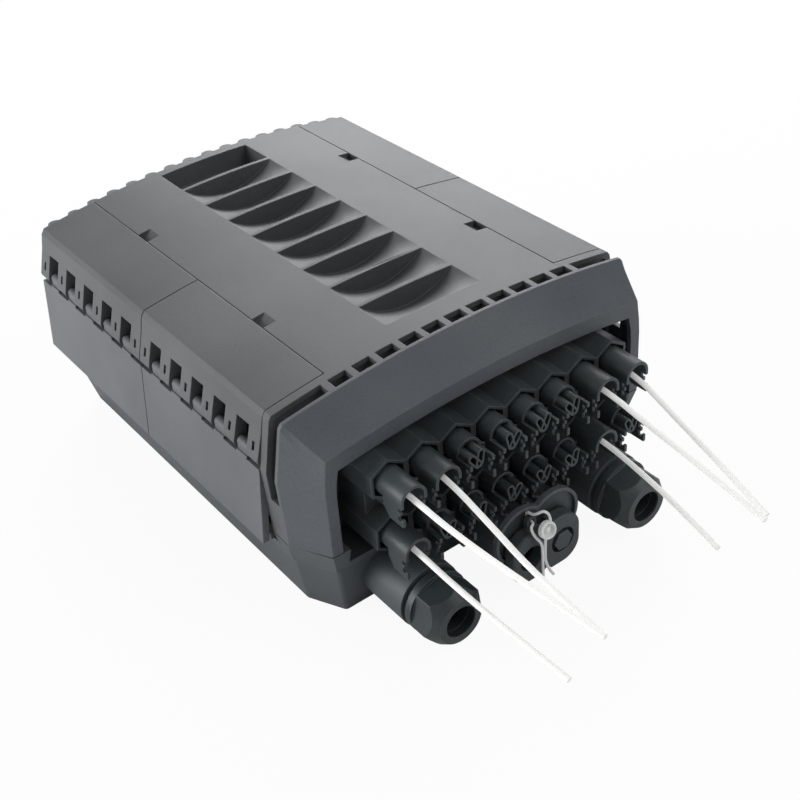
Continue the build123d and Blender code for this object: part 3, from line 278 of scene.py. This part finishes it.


# %% [markdown]
# ## Moulded plastics
# The housing is glass-filled polypropylene, and the ports are black glass-filled nylon.
# Both are moulded against a spark-eroded tool, so the eye sees a fine satin grain and faint
# flow clouds; the edges carry a painted highlight that makes them a little lighter. The real
# grain is about 0.3 mm across, too fine for this view, so it is drawn at 1.1 mm. In front of
# the vents the cover has painted shade: a darker, bluer colour for the dimmer light on the
# hood.

# %% Moulded plastic
satin_mm, cloud_mm, edge_mm = 1.1, 90.0, 0.7
# The painted hood shade fades in between these two places along y
hood_from, hood_to = -114.5 * mm, -116.0 * mm


def moulded_plastic(name, base, light, hood_shade=None, rough=0.5, edge_highlight=0.5):
    """Satin moulded plastic with a grain, flow clouds and a painted highlight on its edges.

    A hood shade, where given, is painted shade: a darker colour in front of the row of vents.
    """
    material, tree, shader = new_material(name)
    place = add_node(tree, "ShaderNodeTexCoord").outputs["Object"]
    grain = add_node(
        tree, "ShaderNodeTexNoise", values={"Scale": 1 / (satin_mm * mm), "Detail": 3.0},
        links={"Vector": place},
    )
    clouds = add_node(
        tree, "ShaderNodeTexNoise", values={"Scale": 1 / (cloud_mm * mm), "Detail": 4.0},
        links={"Vector": place},
    )
    # Edges: where the rounded normal leaves the flat one, a painted highlight makes the plastic
    # lighter
    rounded = add_node(tree, "ShaderNodeBevel", {"samples": 6}, {"Radius": edge_mm * mm})
    flat = add_node(tree, "ShaderNodeNewGeometry").outputs["Normal"]
    alike = add_node(
        tree, "ShaderNodeVectorMath", {"operation": "DOT_PRODUCT"},
        links={0: rounded.outputs["Normal"], 1: flat},
    )
    edge_highlight_mask = add_node(
        tree, "ShaderNodeMapRange",
        values={"From Min": 0.995, "From Max": 0.80, "To Min": 0.0, "To Max": edge_highlight},
        links={"Value": alike.outputs["Value"]},
    )
    mottle = add_node(
        tree, "ShaderNodeMapRange",
        values={"From Min": 0.35, "From Max": 0.65, "To Min": 0.0, "To Max": 0.22},
        links={"Value": clouds.outputs["Fac"]},
    )
    share = add_node(
        tree, "ShaderNodeMath", {"operation": "ADD", "use_clamp": True},
        links={0: edge_highlight_mask.outputs["Result"], 1: mottle.outputs["Result"]},
    )
    colour = add_node(
        tree, "ShaderNodeMix", {"data_type": "RGBA"},
        {"A": linear(base), "B": linear(light)}, {"Factor": share.outputs["Value"]},
    )
    # In front of the vents, painted shade takes the place of the cover's grey
    if hood_shade:
        along = add_node(tree, "ShaderNodeSeparateXYZ", links={"Vector": place})
        in_hood = add_node(
            tree, "ShaderNodeMapRange",
            values={"From Min": hood_from, "From Max": hood_to, "To Min": 0.0, "To Max": 1.0},
            links={"Value": along.outputs["Y"]},
        )
        hood_shade_colour = add_node(
            tree, "ShaderNodeMix", {"data_type": "RGBA"},
            {"A": linear(hood_shade), "B": linear(light)}, {"Factor": share.outputs["Value"]},
        )
        links = {"Factor": in_hood.outputs["Result"], "A": colour.outputs["Result"]}
        links["B"] = hood_shade_colour.outputs["Result"]
        colour = add_node(tree, "ShaderNodeMix", {"data_type": "RGBA"}, links=links)
    speckle = add_node(
        tree, "ShaderNodeMapRange",
        values={"From Min": 0.3, "From Max": 0.7, "To Min": 0.86, "To Max": 1.14},
        links={"Value": grain.outputs["Fac"]},
    )
    shade = add_node(
        tree, "ShaderNodeVectorMath", {"operation": "SCALE"},
        links={0: colour.outputs["Result"], "Scale": speckle.outputs["Result"]},
    )
    gloss = add_node(
        tree, "ShaderNodeMapRange",
        values={
            "From Min": 0.3, "From Max": 0.7, "To Min": rough - 0.06, "To Max": rough + 0.08,
        },
        links={"Value": grain.outputs["Fac"]},
    )
    bump = add_node(
        tree, "ShaderNodeBump", values={"Strength": 0.25, "Distance": 0.1 * mm},
        links={"Height": grain.outputs["Fac"], "Normal": rounded.outputs["Normal"]},
    )
    tree.links.new(shade.outputs["Vector"], shader.inputs["Base Color"])
    tree.links.new(gloss.outputs["Result"], shader.inputs["Roughness"])
    tree.links.new(bump.outputs["Normal"], shader.inputs["Normal"])
    shader.inputs["IOR"].default_value = 1.49
    return material


# The hood shade is painted shade, darker and bluer than the grey, for the dimmer light on the
# hood
cover_plastic = moulded_plastic(
    "grey_moulded_polypropylene", "#4D5052", "#7C8082", hood_shade="#474E55"
)
# The links' lighter grey is painted light: a lit copy of the cover's plastic
lit_link_plastic = moulded_plastic("link_painted_light_polypropylene", "#595C5F", "#858A8C")
tub_plastic = moulded_plastic("tub_moulded_polypropylene", "#464C4F", "#747B7E")
port_plastic = moulded_plastic("black_glass_filled_nylon", "#2B3234", "#717B7E", rough=0.42)
tray_plastic = moulded_plastic("pale_splice_tray_abs", "#C4C7C8", "#E2E4E4", edge_highlight=0.2)
splitter_plastic = moulded_plastic("blue_splitter_abs", "#23385C", "#4A6492", edge_highlight=0.2)
print("plastics:", cover_plastic.name, tub_plastic.name, port_plastic.name)

# %% [markdown]
# ## Rubber, steel and the white plastics
# The seals are matt EPDM rubber, and the pins are drawn stainless steel. The cable
# jackets are smooth white polyethylene, and the tamper seal is white nylon with a soft
# gloss.

# %% Plain finishes
def plain_finish(name, colour, rough, metallic=0.0, ior=1.5, grain_mm=2.0, change=0.06):
    """A smooth finish with slight changes of tone, so that it isn't one flat colour."""
    material, tree, shader = new_material(name)
    place = add_node(tree, "ShaderNodeTexCoord").outputs["Object"]
    grain = add_node(
        tree, "ShaderNodeTexNoise", values={"Scale": 1 / (grain_mm * mm), "Detail": 2.0},
        links={"Vector": place},
    )
    tone = add_node(
        tree, "ShaderNodeMapRange",
        values={
            "From Min": 0.3, "From Max": 0.7, "To Min": 1 - change, "To Max": 1 + change / 3,
        },
        links={"Value": grain.outputs["Fac"]},
    )
    shade = add_node(
        tree, "ShaderNodeVectorMath", {"operation": "SCALE"},
        {0: linear(colour)[:3]}, {"Scale": tone.outputs["Result"]},
    )
    tree.links.new(shade.outputs["Vector"], shader.inputs["Base Color"])
    shader.inputs["Roughness"].default_value = rough
    shader.inputs["Metallic"].default_value = metallic
    if not metallic:
        shader.inputs["IOR"].default_value = ior
    return material


seal_rubber = plain_finish("black_epdm_rubber", "#17191A", 0.8)
pin_steel = plain_finish("drawn_stainless_steel", "#B9B9B4", 0.32, metallic=1.0)
seal_nylon = plain_finish("white_seal_nylon", "#E9EBEA", 0.35, ior=1.53, change=0.04)
jacket_white = plain_finish(
    "white_polyethylene_jacket", "#F4F4F2", 0.6, grain_mm=30.0, change=0.01
)
# The picture shows the jackets nearly as white as the floor, so they glow faintly
jacket_glow = 0.16
jacket = jacket_white.node_tree.nodes["Principled BSDF"].inputs
jacket["Emission Color"].default_value = linear("#FFFFFF")
jacket["Emission Strength"].default_value = jacket_glow
print("finishes:", seal_rubber.name, pin_steel.name, seal_nylon.name, jacket_white.name)

# %% [markdown]
# ## Dress the nodes
# The record names a material slot for every node, and a table from slot to finish
# dresses them all. The latch links share the cover's slot, but they get a lighter copy
# of its finish: painted light, so that their sides read brighter.

# %% Assign the finishes
finish_of_slot = {
    "cover_plastic": cover_plastic,
    "housing_plastic": tub_plastic,
    "port_plastic": port_plastic,
    "seal_rubber": seal_rubber,
    "pin_steel": pin_steel,
    "cable_jacket": jacket_white,
    "tag_plastic": seal_nylon,
    "tray_plastic": tray_plastic,
    "splitter_plastic": splitter_plastic,
}
for part in frame["record"]["subparts"]:
    # The latch links take the lighter copy, which is painted light
    is_link = "latch_link" in part["node"]
    finish = lit_link_plastic if is_link else finish_of_slot[part["material_slot"]]
    solid = frame["nodes"][part["node"]]
    solid.data.materials.clear()
    solid.data.materials.append(finish)
for cable in cables:
    cable.data.materials.append(jacket_white)
for piece in (seal_strap, seal_lock):
    piece.data.materials.append(seal_nylon)
# The web is drawn in the dark port plastic as painted shade for the deep space behind the rim
shade_rim_web.data.materials.append(port_plastic)

# %% [markdown]
# ## Light and floor
# A white floor and three large soft lamps give the even light of a catalogue picture.
# The world is white to the camera and dimmer as a light, so the lamps stay in charge.
# The floor is nearly all white to the camera too, and the rest of it takes the shadow.

# %% World
world = bpy.data.worlds.new("white_studio")
bpy.context.scene.world = world
world.use_nodes = True
sky = world.node_tree
sky.nodes.clear()
seen = add_node(sky, "ShaderNodeLightPath")
either = add_node(
    sky, "ShaderNodeMath", {"operation": "MAXIMUM"},
    links={0: seen.outputs["Is Camera Ray"], 1: seen.outputs["Is Transmission Ray"]},
)
# As a light, the room is brighter behind the box than in front of it
direction = add_node(
    sky, "ShaderNodeSeparateXYZ",
    links={"Vector": add_node(sky, "ShaderNodeTexCoord").outputs["Generated"]},
)
room = add_node(
    sky, "ShaderNodeMapRange",
    values={"From Min": -1.0, "From Max": 1.0, "To Min": 0.24, "To Max": 0.6},
    links={"Value": direction.outputs["Y"]},
)
level = add_node(
    sky, "ShaderNodeMix", {"data_type": "FLOAT"}, {"B": 1.0},
    {"Factor": either.outputs["Value"], "A": room.outputs["Result"]},
)
glow = add_node(
    sky, "ShaderNodeBackground", values={"Color": (1, 1, 1, 1)},
    links={"Strength": level.outputs["Result"]},
)
add_node(sky, "ShaderNodeOutputWorld", links={"Surface": glow.outputs["Background"]})

# %% Floor
reach = 6.0
floor_corners = [(-reach, -reach, 0), (reach, -reach, 0), (reach, reach, 0), (-reach, reach, 0)]
floor = mesh_piece("studio_floor", floor_corners, [(0, 1, 2, 3)])
floor_paint, tree, shader = new_material("white_studio_floor")
shader.inputs["Base Color"].default_value = linear("#F2F2F2")
shader.inputs["Roughness"].default_value = 0.9
white = add_node(
    tree, "ShaderNodeEmission", values={"Color": (1, 1, 1, 1), "Strength": 1.0}
)
path = add_node(tree, "ShaderNodeLightPath")
white_part = 0.93
white_share = add_node(
    tree, "ShaderNodeMath", {"operation": "MULTIPLY"}, {1: white_part},
    {0: path.outputs["Is Camera Ray"]},
)
both = add_node(
    tree, "ShaderNodeMixShader",
    links={
        0: white_share.outputs["Value"],
        1: shader.outputs["BSDF"],
        2: white.outputs["Emission"],
    },
)
tree.links.new(both.outputs["Shader"], tree.nodes["Material Output"].inputs["Surface"])
floor.data.materials.append(floor_paint)

# %% Lamps
def soft_lamp(name, place, target, size, power):
    """A square area lamp of that size in metres and power in watts, facing its target."""
    lamp = bpy.data.lights.new(name, "AREA")
    lamp.shape = "SQUARE"
    lamp.size = size
    lamp.energy = power
    holder = bpy.data.objects.new(name, lamp)
    holder.location = place
    aim = Vector(target) - Vector(place)
    holder.rotation_euler = aim.to_track_quat("-Z", "Y").to_euler()
    bpy.context.scene.collection.objects.link(holder)
    return holder


box_middle = (0, 0, 0.05)
soft_lamp("key_lamp", (1.1, 1.3, 0.9), box_middle, 1.3, 22)
soft_lamp("left_lamp", (-1.5, 0.6, 0.35), box_middle, 1.0, 20)
soft_lamp("front_lamp", (0.7, -1.2, 1.4), box_middle, 1.2, 9)
